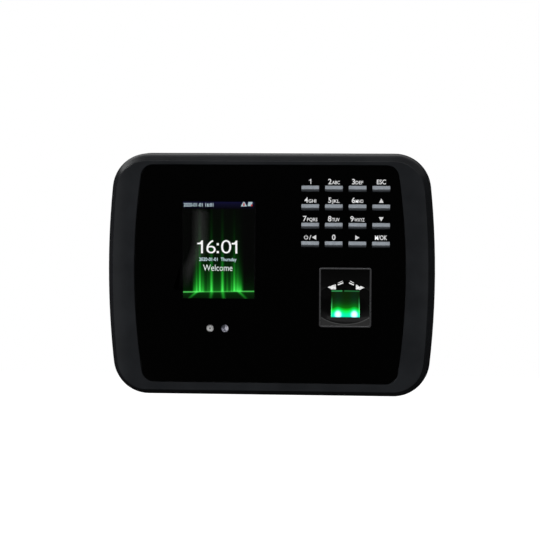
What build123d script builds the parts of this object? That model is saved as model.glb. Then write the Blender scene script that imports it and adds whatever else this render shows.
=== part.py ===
"""Wall-mounted fingerprint scanner terminal, as an assembly of separate pieces.

Millimetres, +Z up, +X to the right as the user sees it, and the user stands on the -Y side.
The origin is the centre of the wall plate's back face, which lies on the wall. Every "depth"
below is a distance out from the wall: a piece from depth 14 to depth 40 lies between y = -14
and y = -40.
"""

import os
from math import cos, radians, sin

from build123d import *

# ---- Case (lengths in mm; "depth" is the distance out from the wall) ----
OUTER_WIDTH = 197.0
OUTER_HEIGHT = 145.5
OUTER_CORNER = 22.0
SIDE_BOW = 5.3  # how far the left and right sides bulge past their ends
FRONT = 40.0  # depth of the bezel's face
PARTING = 14.0  # depth where the two case halves meet
WALL = 2.2
SHOULDER_DEPTH = 8.5
SHOULDER_WIDTH = 4.0
SHOULDER_ROUND = 18.0
CREASE_ROUND = 0.6
WING_START = 82.0  # the bezel's face curves back outside this
WING_RADIUS = 50.0
WING_SWEEP = 34.0

# ---- Back of the case ----
REAR_STEP = 0.8  # the rear half is this much narrower at the parting line
BACK_FACE = 0.6  # depth of the rear half's rim, just off the wall
BACK_WIDTH = 185.0
BACK_HEIGHT = 133.5
BACK_CORNER = 17.0
REAR_FLOOR = BACK_FACE + WALL
POCKET = (-62.0, 62.0, -57.0, 48.6)  # left, right, bottom, top of the recess that the wall plate sits in
POCKET_FLOOR = 5.5
POCKET_INNER = 7.5
BAY = (-41.0, 41.0, -50.0, -24.0)  # the wiring bay's opening in the recess
LIP_HEIGHT = 2.0  # how far the rear half's lip reaches into the front half
LIP_THICKNESS = 1.2
LIP_GAP = 0.2

# ---- Window and deck ----
GLASS_WIDTH = 162.0
GLASS_HEIGHT = 130.2
GLASS_CORNER = 7.5
GLASS_RISE = 1.1  # the window's centre is this far above the case's
GLASS_GAP = 0.15
DECK_BACK = 35.5
DECK_FRONT = 37.5
CAVITY_FRONT = 33.6
CAVITY_SLOPE_DEPTH = 7.0  # the cavity narrows towards its front, behind the shoulder
CAVITY_SLOPE_WIDTH = 3.0
MASK_BACK = 37.75
MASK_FRONT = 37.9
GLASS_FRONT = 39.5

# ---- Display, camera and infrared lamps ----
DISPLAY_X = -30.3
DISPLAY_Z = 15.3
DISPLAY_VIEW = (43.6, 58.0)
DISPLAY_MODULE = (50.0, 69.2)
MODULE_Z = DISPLAY_Z - 3.2
BRACKET_POSTS = [(-58.6, 40.0), (-58.6, -16.0), (-2.0, 40.0), (-2.0, -16.0)]
CAMERA_Z = -31.6
CAMERA_MIDDLE = DISPLAY_X - 1.0
CAMERA_X = [CAMERA_MIDDLE - 4.4, CAMERA_MIDDLE + 4.4]
CAMERA_POSTS = [(DISPLAY_X - 14.0, CAMERA_Z), (DISPLAY_X + 14.0, CAMERA_Z)]
LENS_DIAMETER = 4.4
LAMP_COLUMNS = [-66.0, 6.0]
LAMP_ROWS = [38.0, 27.0, 16.0, 5.0, -6.0]
LAMP_DIAMETER = 5.0
LAMP_POSTS = [(x, z) for x in LAMP_COLUMNS for z in (LAMP_ROWS[0] + 6.5, LAMP_ROWS[-1] - 6.5)]

# ---- Keypad ----
KEY_NAMES = [
    ["key_1", "key_2", "key_3", "key_esc"],
    ["key_4", "key_5", "key_6", "key_up"],
    ["key_7", "key_8", "key_9", "key_down"],
    ["key_power", "key_0", "key_right", "key_menu"],
]
KEY_WIDTH = 10.4
KEY_HEIGHT = 3.6
KEY_PITCH_X = 14.0
KEY_PITCH_Z = 11.0
KEY_LEFT = 24.3
KEY_TOP = 52.4
KEY_GAP = 0.175
KEY_TRAVEL = 0.8
KEY_NOSE = GLASS_FRONT + 1.3
KEYPAD_X = KEY_LEFT + 1.5 * KEY_PITCH_X
KEYPAD_Z = KEY_TOP - 1.5 * KEY_PITCH_Z
KEYPAD_POSTS = [(17.0, 58.0), (73.6, 58.0), (17.0, 14.0), (73.6, 14.0)]
KEY_FLANGE_FRONT = 35.2

# ---- Fingerprint sensor ----
SENSOR_X = KEYPAD_X
SENSOR_Z = -12.3
SENSOR_WIDTH = 31.1
SENSOR_HEIGHT = 35.7
SENSOR_RIM = 1.1
RIM_HEIGHT = 0.5  # the bead round the sensor stands this far above the face inside it
FLANGE_BACK = 33.5
PLATEN_TOP_WIDTH = 16.5
PLATEN_BOTTOM_WIDTH = 16.8
PLATEN_TOP = -8.25
PLATEN_BOTTOM = -24.05
PLATEN_DEPTH = 36.2
DISH_Z = -16.05
DISH_RISE = 6.0  # the dish is part of an ellipsoid, whose centre is this far in front of the face
DISH_AXES = (26.2, 9.0, 16.6)
TIP_RADIUS = 6.3  # the fingertip hollow's mouth
TIP_HOLLOW = 2.7
SENSOR_POSTS = [(SENSOR_X - 20.5, SENSOR_Z), (SENSOR_X + 20.5, SENSOR_Z)]

# ---- Main board ----
BOARD = (-72.0, 72.0, -62.0, 46.0)
BOARD_BACK = 20.0
BOARD_FRONT = 21.6
BOARD_POSTS = [(-58.0, 40.0), (58.0, 40.0), (-58.0, -54.0), (58.0, -54.0)]
NETWORK_X = -24.0
USB_X = 52.0
SPEAKER_X = -45.0
TAMPER_Z = 20.0
RESET_X = -37.0
RESET_Z = -44.0

# ---- Case screws and wall plate ----
CASE_SCREWS = [(-82.0, 46.0), (82.0, 46.0), (-82.0, -46.0), (82.0, -46.0), (0.0, 60.0)]
PLATE_WIDTH = 120.0
PLATE_HEIGHT = 96.0
PLATE_THICKNESS = 1.5
WALL_HOLE_X = 50.0
WALL_HOLE_Z = 35.0
WALL_HOLE_RADIUS = 2.5
HOOKS = [(-30.0, 30.0), (30.0, 30.0), (-48.5, -8.0), (48.5, -8.0)]
HOOK_WIDTH = 12.0
HOOK_PLAY = 0.05
LIFT = 8.0  # how far the terminal rises to come off its hooks
TAB_BOTTOM = -66.5
SCREW_DEPTH = 6.5


# ---- Helpers ----
def slab(profile, back, front):
    """Extrudes a front-view profile from one depth to another."""
    return extrude(Plane.XZ.offset(back) * profile, front - back)


def spot(x, z, profile):
    """Puts a front-view profile at a place."""
    return Pos(x, z) * profile


def block(left, right, bottom, top, back, front):
    """A plain block from its six faces."""
    middle = spot((left + right) / 2, (bottom + top) / 2, Rectangle(right - left, top - bottom))
    return slab(middle, back, front)


def disc(x, z, diameter, back, front):
    """A cylinder that points at the user."""
    return slab(spot(x, z, Circle(diameter / 2)), back, front)


def group(solids):
    """Several separate solids as one piece."""
    return Compound(children=[s for shape in solids for s in shape.solids()])


def barrel(width, height, corner, rise=0.0):
    """A rounded rectangle whose left and right sides bow outwards."""
    w, h = width / 2, height / 2
    outline = [
        Line((SIDE_BOW - w, h), (w - SIDE_BOW, h)),
        ThreePointArc((w - SIDE_BOW, h), (w, 0), (w - SIDE_BOW, -h)),
        Line((w - SIDE_BOW, -h), (SIDE_BOW - w, -h)),
        ThreePointArc((SIDE_BOW - w, -h), (-w, 0), (SIDE_BOW - w, h)),
    ]
    face = make_face(outline)
    return Pos(0, rise) * fillet(face.vertices(), corner)


def ribbon(points, radius, thickness, left, right):
    """A flat cable: a path of (depth, z) points with rounded bends, as wide as left to right."""
    path = FilletPolyline(*[(-depth, z) for depth, z in points], radius=radius)
    strip = trace(path, line_width=thickness)
    return extrude(Plane(origin=(left, 0, 0), x_dir=(0, 1, 0), z_dir=(1, 0, 0)) * strip, right - left)


# ---- Front half of the case ----
def face_envelope(front):
    """Everything behind the bezel's face: flat in the middle, with two wings that curve back."""

    def wing(side, turn):
        angle = radians(turn)
        return (side * (WING_START + WING_RADIUS * sin(angle)), -front + WING_RADIUS * (1 - cos(angle)))

    right, left = wing(1, WING_SWEEP), wing(-1, WING_SWEEP)
    outline = [
        Line((WING_START, -front), (-WING_START, -front)),
        ThreePointArc((-WING_START, -front), wing(-1, WING_SWEEP / 2), left),
        Line(left, (left[0], 0)),
        Line((left[0], 0), (right[0], 0)),
        Line((right[0], 0), right),
        ThreePointArc(right, wing(1, WING_SWEEP / 2), (WING_START, -front)),
    ]
    return extrude(make_face(outline), OUTER_HEIGHT, both=True)


def face_kind(face):
    """Sorts a face of the bare bezel by the way it looks: front, back, side or shoulder."""
    centre = face.center()
    towards_user = -face.normal_at(centre).Y
    if abs(towards_user) > 0.98:
        return "front" if centre.Y < -PARTING - 1 else "back"
    return "side" if abs(towards_user) < 0.02 else "shoulder"


def edges_between(shape, kinds):
    """The edges where a face of one kind meets a face of the other."""
    met = {}
    for face in shape.faces():
        for edge in face.edges():
            met.setdefault(hash(edge), []).append((face_kind(face), edge))
    return ShapeList([pair[0][1] for pair in met.values() if sorted(k for k, _ in pair) == sorted(kinds)])


def bezel_block():
    """The front half as a solid block, with its rounded shoulder and the crease round its face."""
    shape = slab(barrel(OUTER_WIDTH, OUTER_HEIGHT, OUTER_CORNER), PARTING, FRONT) & face_envelope(FRONT)
    shape = chamfer(edges_between(shape, ["front", "side"]), SHOULDER_DEPTH, SHOULDER_WIDTH)
    shape = fillet(edges_between(shape, ["front", "shoulder"]), CREASE_ROUND)
    return fillet(edges_between(shape, ["shoulder", "side"]), SHOULDER_ROUND)


def key_centres():
    """Every key's name and centre."""
    for row, names in enumerate(KEY_NAMES):
        for column, name in enumerate(names):
            yield name, KEY_LEFT + column * KEY_PITCH_X, KEY_TOP - row * KEY_PITCH_Z


def key_slots(gap, corner=0.5):
    """The keypad's slots, wider than the keys by gap all round."""
    slot = RectangleRounded(KEY_WIDTH + 2 * gap, KEY_HEIGHT + 2 * gap, corner)
    return [spot(x, z, slot) for _, x, z in key_centres()]


def sensor_outline(margin, corner=1.5):
    """The fingerprint sensor's rounded outline, grown by a margin."""
    shape = RectangleRounded(SENSOR_WIDTH + 2 * margin, SENSOR_HEIGHT + 2 * margin, corner + margin)
    return spot(SENSOR_X, SENSOR_Z, shape)


def lamp_centres():
    """Every infrared lamp's centre."""
    return [(x, z) for x in LAMP_COLUMNS for z in LAMP_ROWS]


def speaker_slots():
    """The sound slots in the case's underside, as cutters."""
    slots = []
    for step in range(7):
        x = SPEAKER_X + (step - 3) * 3.6
        profile = Plane.XY.offset(-OUTER_HEIGHT / 2 - 1) * Pos(x, -21.4) * SlotOverall(9.0, 1.6, rotation=90)
        slots.append(extrude(profile, 5.0))
    return slots


def small_posts():
    """The screw posts behind the deck, as (x, z, depth of their end)."""
    posts = [(x, z, 33.2) for x, z in BRACKET_POSTS]
    posts += [(x, z, 31.6) for x, z in CAMERA_POSTS + LAMP_POSTS]
    posts += [(x, z, 31.2) for x, z in KEYPAD_POSTS]
    posts += [(x, z, 32.6) for x, z in SENSOR_POSTS]
    return posts


def front_housing():
    """The bezel shell: a deck behind the window, a shoulder all round and screw posts inside."""
    inner = barrel(OUTER_WIDTH - 2 * WALL, OUTER_HEIGHT - 2 * WALL, OUTER_CORNER - WALL)
    under_deck = barrel(GLASS_WIDTH - 6, GLASS_HEIGHT - 6, GLASS_CORNER - 2, GLASS_RISE)
    pocket = barrel(GLASS_WIDTH + 2 * GLASS_GAP, GLASS_HEIGHT + 2 * GLASS_GAP, GLASS_CORNER, GLASS_RISE)
    cavity = slab(inner, PARTING - 1, CAVITY_FRONT)
    cavity_rim = cavity.edges().filter_by(lambda e: abs(e.center().Y + CAVITY_FRONT) < 0.01)
    shape = bezel_block() - chamfer(cavity_rim, CAVITY_SLOPE_DEPTH, CAVITY_SLOPE_WIDTH)
    shape -= slab(under_deck, CAVITY_FRONT - 0.1, DECK_BACK)
    shape -= slab(pocket, DECK_FRONT, FRONT + 1)
    rim = shape.edges().filter_by(
        lambda e: abs(e.center().Y + FRONT) < 0.01
        and abs(e.center().X) < GLASS_WIDTH / 2 + 0.5
        and abs(e.center().Z - GLASS_RISE) < GLASS_HEIGHT / 2 + 0.5
    )
    shape = chamfer(rim, 0.35)
    shape += [disc(x, z, 8.0, PARTING, DECK_BACK + 0.5) for x, z in CASE_SCREWS]
    shape += [disc(x, z, 4.4, end, DECK_BACK + 0.5) for x, z, end in small_posts()]
    cutters = [disc(x, z, 3.0, PARTING - 1, 30.0) for x, z in CASE_SCREWS]
    cutters += [disc(x, z, 1.7, end - 1, DECK_BACK + 0.9) for x, z, end in small_posts()]
    cutters += [slab(slot, DECK_BACK - 1, DECK_FRONT + 1) for slot in key_slots(KEY_GAP)]
    cutters += [disc(x, z, LAMP_DIAMETER + 0.3, DECK_BACK - 1, DECK_FRONT + 1) for x, z in lamp_centres()]
    display_hole = spot(DISPLAY_X, MODULE_Z, Rectangle(DISPLAY_MODULE[0] + 0.6, DISPLAY_MODULE[1] + 0.6))
    camera_hole = spot(CAMERA_MIDDLE, CAMERA_Z, RectangleRounded(18.0, 8.0, 3.0))
    for hole in (display_hole, camera_hole, sensor_outline(0.3)):
        cutters.append(slab(hole, CAVITY_FRONT, DECK_FRONT + 1))
    cutters.append(block(USB_X - 7.0, USB_X + 7.0, -OUTER_HEIGHT / 2 - 1, -OUTER_HEIGHT / 2 + 4, 22.0, 28.5))
    return shape - (cutters + speaker_slots())


# ---- Rear half of the case ----
def rear_shell():
    """The tapered tub behind the parting line, before its recess and bosses."""
    front, back, floor = (Plane.XZ.offset(depth) for depth in (PARTING, BACK_FACE, REAR_FLOOR))
    outer_front = barrel(OUTER_WIDTH - REAR_STEP, OUTER_HEIGHT - REAR_STEP, OUTER_CORNER)
    outer_back = barrel(BACK_WIDTH, BACK_HEIGHT, BACK_CORNER)
    inner_front = barrel(OUTER_WIDTH - 5.0, OUTER_HEIGHT - 5.0, OUTER_CORNER - 2.5)
    inner_back = barrel(BACK_WIDTH - 6.0, BACK_HEIGHT - 6.0, BACK_CORNER - 2.5)
    outside = loft([front * outer_front, back * outer_back], ruled=True)
    inside = loft([front * inner_front, floor * inner_back], ruled=True)
    back_edges = outside.edges().filter_by(lambda e: abs(e.center().Y + BACK_FACE) < 0.01)
    return fillet(back_edges, 1.6), inside


def case_lip():
    """The thin lip that locates the two halves."""
    grow = WALL + LIP_GAP
    outer = barrel(OUTER_WIDTH - 2 * grow, OUTER_HEIGHT - 2 * grow, OUTER_CORNER - grow)
    grow += LIP_THICKNESS
    inner = barrel(OUTER_WIDTH - 2 * grow, OUTER_HEIGHT - 2 * grow, OUTER_CORNER - grow)
    return slab(outer - inner, PARTING - 3.0, PARTING + LIP_HEIGHT)


def rear_housing():
    """The back shell: a recess for the wall plate, hook slots, a wiring bay and bosses."""
    outside, inside = rear_shell()
    left, right, bottom, top = POCKET
    bay_left, bay_right, bay_bottom, bay_top = BAY
    shape = outside - inside
    extra = block(left - 2, right + 2, bottom - 2, top + 2, REAR_FLOOR - 1, POCKET_INNER)
    extra += block(bay_left - 2, bay_right + 2, bay_bottom - 2, bay_top + 2, POCKET_FLOOR, BOARD_BACK - 0.4)
    extra += block(-11.0, 11.0, -71.0, -57.5, REAR_FLOOR - 1, PARTING) & outside
    shape += [extra, case_lip()]
    shape += [disc(x, z, 9.0, REAR_FLOOR - 1, PARTING) for x, z in CASE_SCREWS]
    shape += [disc(x, z, 6.0, POCKET_INNER - 0.5, BOARD_BACK) for x, z in BOARD_POSTS]
    cutters = [block(left, right, bottom, top, -1, POCKET_FLOOR)]
    cutters.append(block(bay_left, bay_right, bay_bottom, bay_top, POCKET_FLOOR - 1, BOARD_BACK + 1))
    cutters.append(block(NETWORK_X - 8.2, NETWORK_X + 8.2, bay_top - 1, bay_top + 3, 8.2, BOARD_BACK + 1))
    for x, z in HOOKS:
        cutters.append(block(x - 6.4, x + 6.4, z - LIFT - 2.0, z, POCKET_FLOOR - 1, POCKET_INNER + 1))
    for x, z in CASE_SCREWS:
        cutters += [disc(x, z, 6.6, -1, 9.0), disc(x, z, 3.4, 8.0, PARTING + 1)]
    cutters += [disc(x, z, 2.4, 12.0, BOARD_BACK + 1) for x, z in BOARD_POSTS]
    cutters.append(disc(0, TAMPER_Z, 3.6, POCKET_FLOOR - 1, POCKET_INNER + 1))
    cutters.append(block(-9.0, 9.0, -80.0, bottom + 0.1, -1, 2.3))
    cutters.append(block(-9.0, 9.0, -80.0, TAB_BOTTOM + 2.1, -1, 12.4))
    cutters.append(Pos(0, -SCREW_DEPTH, TAB_BOTTOM + 1.5) * Cylinder(1.6, 14.0))
    return shape - cutters


# ---- Window ----
def window_holes(margin):
    """What passes through the window: the keys and the fingerprint sensor."""
    return [sensor_outline(margin), *key_slots(margin)]


def front_window():
    """The smoked acrylic sheet over the whole front."""
    profile = barrel(GLASS_WIDTH, GLASS_HEIGHT, GLASS_CORNER, GLASS_RISE) - window_holes(KEY_GAP)
    sheet = slab(profile, MASK_FRONT, GLASS_FRONT)
    front_face = sheet.faces().sort_by(Axis.Y)[0]
    return chamfer(front_face.outer_wire().edges(), 0.25)


def window_mask():
    """The black film behind the acrylic, open at the display and the two lenses."""
    profile = barrel(GLASS_WIDTH - 0.4, GLASS_HEIGHT - 0.4, GLASS_CORNER, GLASS_RISE) - window_holes(KEY_GAP)
    profile -= spot(DISPLAY_X, DISPLAY_Z, Rectangle(*DISPLAY_VIEW))
    profile -= [spot(x, CAMERA_Z, Circle(LENS_DIAMETER / 2 + 0.1)) for x in CAMERA_X]
    return slab(profile, MASK_BACK, MASK_FRONT)


def window_adhesive():
    """The tape frame that holds the window on the deck."""
    outer = barrel(GLASS_WIDTH - 1.0, GLASS_HEIGHT - 1.0, GLASS_CORNER, GLASS_RISE)
    inner = barrel(GLASS_WIDTH - 7.0, GLASS_HEIGHT - 7.0, GLASS_CORNER - 3.0, GLASS_RISE)
    return slab(outer - inner, DECK_FRONT, MASK_BACK)


# ---- Display ----
def display_panel():
    """The liquid-crystal cell."""
    return slab(spot(DISPLAY_X, MODULE_Z, Rectangle(*DISPLAY_MODULE)), 35.9, 37.6)


def display_backlight():
    """The light guide and its frame, with a ledge for the cell."""
    width, height = DISPLAY_MODULE
    frame = slab(spot(DISPLAY_X, MODULE_Z, RectangleRounded(width - 0.4, height - 0.4, 1.0)), 33.4, 35.9)
    return frame - slab(spot(DISPLAY_X, MODULE_Z, Rectangle(width - 4, height - 4)), 35.5, 36.0)


def display_bracket():
    """The pressed sheet that clamps the display to the deck, with stiffening ribs."""
    xs, zs = [p[0] for p in BRACKET_POSTS], [p[1] for p in BRACKET_POSTS]
    sheet = spot(DISPLAY_X, (max(zs) + min(zs)) / 2, RectangleRounded(max(xs) - min(xs) + 5.2, 61.0, 2.0))
    shape = slab(sheet, 32.4, 33.2)
    shape += [block(DISPLAY_X + x - 1, DISPLAY_X + x + 1, -12, 36, 31.6, 32.5) for x in (-18, 0, 18)]
    return shape - [disc(x, z, 2.2, 31, 34) for x, z in BRACKET_POSTS]


def display_flex():
    """The display's flat cable, folded back to the main board."""
    return ribbon([(33.25, -19.0), (33.25, -23.4), (23.0, -23.4), (23.0, -16.0)], 1.2, 0.3, -38.0, -22.0)


# ---- Camera and lamps ----
def camera_board():
    """The narrow board behind the two lenses."""
    board = slab(spot(DISPLAY_X, CAMERA_Z, RectangleRounded(34.0, 9.0, 1.0)), 30.4, 31.6)
    return board - [disc(x, z, 2.2, 30, 32) for x, z in CAMERA_POSTS]


def camera_barrels():
    """The lens holders of the two cameras."""
    barrels = []
    for x in CAMERA_X:
        body = slab(spot(x, CAMERA_Z, RectangleRounded(7.2, 7.2, 1.0)), 31.6, 34.0)
        body += disc(x, CAMERA_Z, 6.6, 34.0, 37.2)
        barrels.append(body - disc(x, CAMERA_Z, LENS_DIAMETER + 0.1, 35.2, 38))
    return group(barrels)


def camera_lenses():
    """The two front lens elements, with domed faces."""
    lenses = []
    for x in CAMERA_X:
        dome_radius = 5.0
        body = disc(x, CAMERA_Z, LENS_DIAMETER, 35.2, 37.6)
        lenses.append(body & (Pos(x, -37.55 + dome_radius, CAMERA_Z) * Sphere(dome_radius)))
    return group(lenses)


def infrared_lamps():
    """Ten round lamps that light a face without being seen."""
    lamps = []
    for x, z in lamp_centres():
        radius = LAMP_DIAMETER / 2
        body = disc(x, z, LAMP_DIAMETER + 0.8, 31.6, 32.6) + disc(x, z, LAMP_DIAMETER, 32.5, 35.0)
        lamps.append(body + Pos(x, -35.0, z) * Sphere(radius))
    return group(lamps)


def lamp_boards():
    """The two strips that carry the lamps."""
    height = LAMP_ROWS[0] - LAMP_ROWS[-1] + 18.0
    middle = (LAMP_ROWS[0] + LAMP_ROWS[-1]) / 2
    strips = [slab(spot(x, middle, RectangleRounded(8.6, height, 1.0)), 30.4, 31.6) for x in LAMP_COLUMNS]
    holes = [disc(x, z, 2.2, 30, 32) for x, z in LAMP_POSTS]
    return group([strip - holes for strip in strips])


# ---- Keypad ----
def key_cap(x, z):
    """One key: a bar that is highest just below its middle, on a retaining flange and a stem."""
    w, h = KEY_WIDTH / 2, KEY_HEIGHT / 2
    back = KEY_FLANGE_FRONT - 0.3
    side = make_face(
        [
            Polyline((-back, -h), (-back, h), (-GLASS_FRONT - 0.45, h), (-KEY_NOSE + 0.05, -h * 0.1)),
            RadiusArc((-KEY_NOSE + 0.05, -h * 0.1), (-GLASS_FRONT - 0.2, -h), -2.1),
            Line((-GLASS_FRONT - 0.2, -h), (-back, -h)),
        ]
    )
    plane = Plane(origin=(x - w, 0, z), x_dir=(0, 1, 0), z_dir=(1, 0, 0))
    cap = extrude(plane * side, KEY_WIDTH)
    ends = cap.edges().filter_by(Axis.Y)
    cap = fillet(ends, 0.35)
    cap += slab(spot(x, z, RectangleRounded(12.4, 5.2, 0.8)), KEY_FLANGE_FRONT - 0.9, KEY_FLANGE_FRONT)
    return cap + slab(spot(x, z, RectangleRounded(5.0, 2.4, 0.4)), 33.4, KEY_FLANGE_FRONT - 0.5)


def keypad_membrane():
    """The silicone sheet with a dome under every key."""
    sheet = slab(spot(KEYPAD_X, KEYPAD_Z, RectangleRounded(52.0, 42.0, 1.5)), 31.2, 31.8)
    dome = RectangleRounded(8.0, 4.4, 1.6)
    top = RectangleRounded(6.0, 2.8, 1.0)
    for _, x, z in key_centres():
        pair = [Plane.XZ.offset(31.7) * spot(x, z, dome), Plane.XZ.offset(32.5) * spot(x, z, top)]
        sheet += loft(pair, ruled=True)
    return sheet


def keypad_board():
    """The keypad's contact board."""
    board = slab(spot(KEYPAD_X, KEYPAD_Z, RectangleRounded(61.0, 48.0, 1.5)), 30.0, 31.2)
    return board - [disc(x, z, 2.2, 29, 32) for x, z in KEYPAD_POSTS]


def keypad_flex():
    """The keypad's flat cable, folded back to the main board."""
    return ribbon([(29.85, 16.0), (29.85, 10.5), (23.0, 10.5), (23.0, 18.0)], 1.2, 0.3, 26.0, 38.0)


# ---- Fingerprint sensor ----
def platen_outline(margin):
    """The finger window, slightly wider at its foot."""
    top, bottom = PLATEN_TOP_WIDTH / 2 + margin, PLATEN_BOTTOM_WIDTH / 2 + margin
    high, low = PLATEN_TOP + margin, PLATEN_BOTTOM - margin
    corners = [(-top, high), (top, high), (bottom, low), (-bottom, low)]
    return spot(SENSOR_X, 0, make_face(Polyline(*corners, close=True)))


def finger_guide():
    """A shallow dish and a round fingertip hollow, kept inside the sensor's rim."""
    face = FRONT - RIM_HEIGHT
    dish = Pos(SENSOR_X, -face - DISH_RISE, DISH_Z) * scale(Sphere(1.0), by=DISH_AXES)
    radius = (TIP_RADIUS**2 + TIP_HOLLOW**2) / (2 * TIP_HOLLOW)
    hollow = Pos(SENSOR_X, -face + TIP_HOLLOW - radius, PLATEN_TOP) * Sphere(radius)
    inside = RectangleRounded(SENSOR_WIDTH - 2 * SENSOR_RIM, SENSOR_HEIGHT - 2 * SENSOR_RIM, 0.8)
    return (dish + hollow) & slab(spot(SENSOR_X, SENSOR_Z, inside), PLATEN_DEPTH - 1, FRONT + 1)


def sensor_bezel():
    """The glossy finger guide: a beaded rim, a dish, a fingertip hollow and a flange behind."""
    shape = slab(sensor_outline(0.0), FLANGE_BACK, FRONT)
    inside = RectangleRounded(SENSOR_WIDTH - 2 * SENSOR_RIM, SENSOR_HEIGHT - 2 * SENSOR_RIM, 0.8)
    shape -= slab(spot(SENSOR_X, SENSOR_Z, inside), FRONT - RIM_HEIGHT, FRONT + 1)
    shape = fillet(shape.edges().filter_by(lambda e: abs(e.center().Y + FRONT) < 0.01), 0.4)
    shape += slab(sensor_outline(1.7), FLANGE_BACK, DECK_BACK)
    shape -= finger_guide()
    return shape - slab(platen_outline(0.15), FLANGE_BACK - 1, FRONT + 1)


def sensor_prism():
    """The clear block that the finger rests on, with a sloping back."""
    side = [(-PLATEN_DEPTH, PLATEN_BOTTOM), (-PLATEN_DEPTH, PLATEN_TOP)]
    side += [(-31.0, PLATEN_TOP), (-27.4, PLATEN_BOTTOM)]
    plane = Plane(origin=(SENSOR_X - PLATEN_BOTTOM_WIDTH / 2, 0, 0), x_dir=(0, 1, 0), z_dir=(1, 0, 0))
    wedge = extrude(plane * make_face(Polyline(*side, close=True)), PLATEN_BOTTOM_WIDTH)
    return wedge & slab(platen_outline(0.0), 27.0, FRONT)


def sensor_housing():
    """The light-tight box behind the sensor's bezel, with two screw ears."""
    outer = slab(spot(SENSOR_X, SENSOR_Z, RectangleRounded(29.0, 33.0, 1.5)), 22.6, FLANGE_BACK)
    outer += [disc(x, z, 5.0, 31.0, 32.6) for x, z in SENSOR_POSTS]
    for x, z in SENSOR_POSTS:
        near, far = sorted((x, SENSOR_X + (14.0 if x > SENSOR_X else -14.0)))
        outer += block(near, far, z - 2.5, z + 2.5, 31.0, 32.6)
    shape = outer - block(SENSOR_X - 13.0, SENSOR_X + 13.0, SENSOR_Z - 15.0, SENSOR_Z + 15.0, 24.2, 34.0)
    return shape - [disc(x, z, 2.2, 30, 34) for x, z in SENSOR_POSTS]


def sensor_board():
    """The imaging board at the bottom of the sensor's box."""
    return slab(spot(SENSOR_X, SENSOR_Z, Rectangle(25.6, 29.6)), 24.3, 25.5)


def sensor_lens():
    """The imaging lens beside the prism."""
    body = slab(spot(SENSOR_X, -3.2, RectangleRounded(8.4, 7.4, 1.0)), 25.5, 27.6)
    body += disc(SENSOR_X, -3.2, 6.4, 27.5, 31.0)
    return body - disc(SENSOR_X, -3.2, 3.6, 30.2, 32)


def sensor_lamps():
    """The two green lamps at the prism's lower edge."""
    centres = (SENSOR_X - 4.6, SENSOR_X + 4.6)
    return group([block(x - 1.2, x + 1.2, -24.0, -21.8, 25.5, 26.8) for x in centres])


# ---- Main board and what it carries ----
def main_board():
    """The main circuit board, with a tab for the USB socket."""
    left, right, bottom, top = BOARD
    profile = spot((left + right) / 2, (bottom + top) / 2, RectangleRounded(right - left, top - bottom, 2.0))
    profile += spot(USB_X, bottom - 2.0, Rectangle(18.0, 7.0))
    return slab(profile, BOARD_BACK, BOARD_FRONT) - [disc(x, z, 2.8, 19, 23) for x, z in BOARD_POSTS]


def main_chips():
    """The processor, memory, power coils and other chips: (x, z, width, height, thickness)."""
    chips = [(-37, 12, 14, 14, 1.2), (-8, 26, 12, 18, 1.2), (-8, 2, 10, 10, 1.4), (12, -24, 9, 9, 1.2)]
    chips += [(-20, -44, 12, 12, 3.2), (2, -46, 8, 8, 3.0), (18, -46, 6, 6, 2.4), (-62, 2, 8, 8, 1.4)]
    chips += [(64, 30, 6, 10, 1.2), (64, 12, 6, 6, 1.4), (-46, -26, 8, 6, 1.0), (20, 36, 10, 6, 1.2)]
    chips += [(-62, 20, 7, 14, 1.5)]
    solids = []
    for x, z, w, h, t in chips:
        solids.append(block(x - w / 2, x + w / 2, z - h / 2, z + h / 2, BOARD_FRONT, BOARD_FRONT + t))
    return group(solids)


def processor_shield():
    """The pressed can over the processor."""
    outer = block(-52.0, -22.0, -2.0, 26.0, BOARD_FRONT, BOARD_FRONT + 2.4)
    outer = fillet(outer.edges().filter_by(Axis.Y), 1.0)
    return outer - block(-51.6, -22.4, -1.6, 25.6, BOARD_FRONT - 1, BOARD_FRONT + 2.0)


def coin_cell():
    """The cell that keeps the clock running."""
    return disc(-54.0, -42.0, 12.5, BOARD_FRONT + 0.5, BOARD_FRONT + 2.5)


def cell_holder():
    """The coin cell's cradle."""
    outer = slab(spot(-54.0, -42.0, RectangleRounded(16.0, 15.0, 2.0)), BOARD_FRONT, BOARD_FRONT + 2.2)
    return outer - disc(-54.0, -42.0, 12.8, BOARD_FRONT + 0.4, BOARD_FRONT + 3)


def network_jack():
    """The network socket, which opens down into the wiring bay."""
    bottom = BAY[3]
    outer = block(NETWORK_X - 7.9, NETWORK_X + 7.9, bottom, bottom + 15.0, 8.5, BOARD_BACK)
    outer -= block(NETWORK_X - 5.9, NETWORK_X + 5.9, bottom - 1, bottom + 12.5, 10.6, 17.4)
    return outer - block(NETWORK_X - 2.0, NETWORK_X + 2.0, bottom - 1, bottom + 10.0, 17.3, 19.0)


def usb_jack():
    """The USB socket, flush with the case's underside."""
    mouth = -OUTER_HEIGHT / 2 + 0.4
    outer = block(USB_X - 6.55, USB_X + 6.55, mouth, mouth + 14.0, BOARD_FRONT + 0.6, BOARD_FRONT + 6.3)
    outer -= block(USB_X - 6.2, USB_X + 6.2, mouth - 1, mouth + 10.5, BOARD_FRONT + 0.95, BOARD_FRONT + 5.95)
    outer += block(USB_X - 5.5, USB_X + 5.5, mouth + 1.5, mouth + 11.0, BOARD_FRONT + 3.6, BOARD_FRONT + 5.4)
    return outer + block(USB_X - 5.0, USB_X + 5.0, -65.0, -60.0, BOARD_FRONT, BOARD_FRONT + 0.7)


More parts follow.
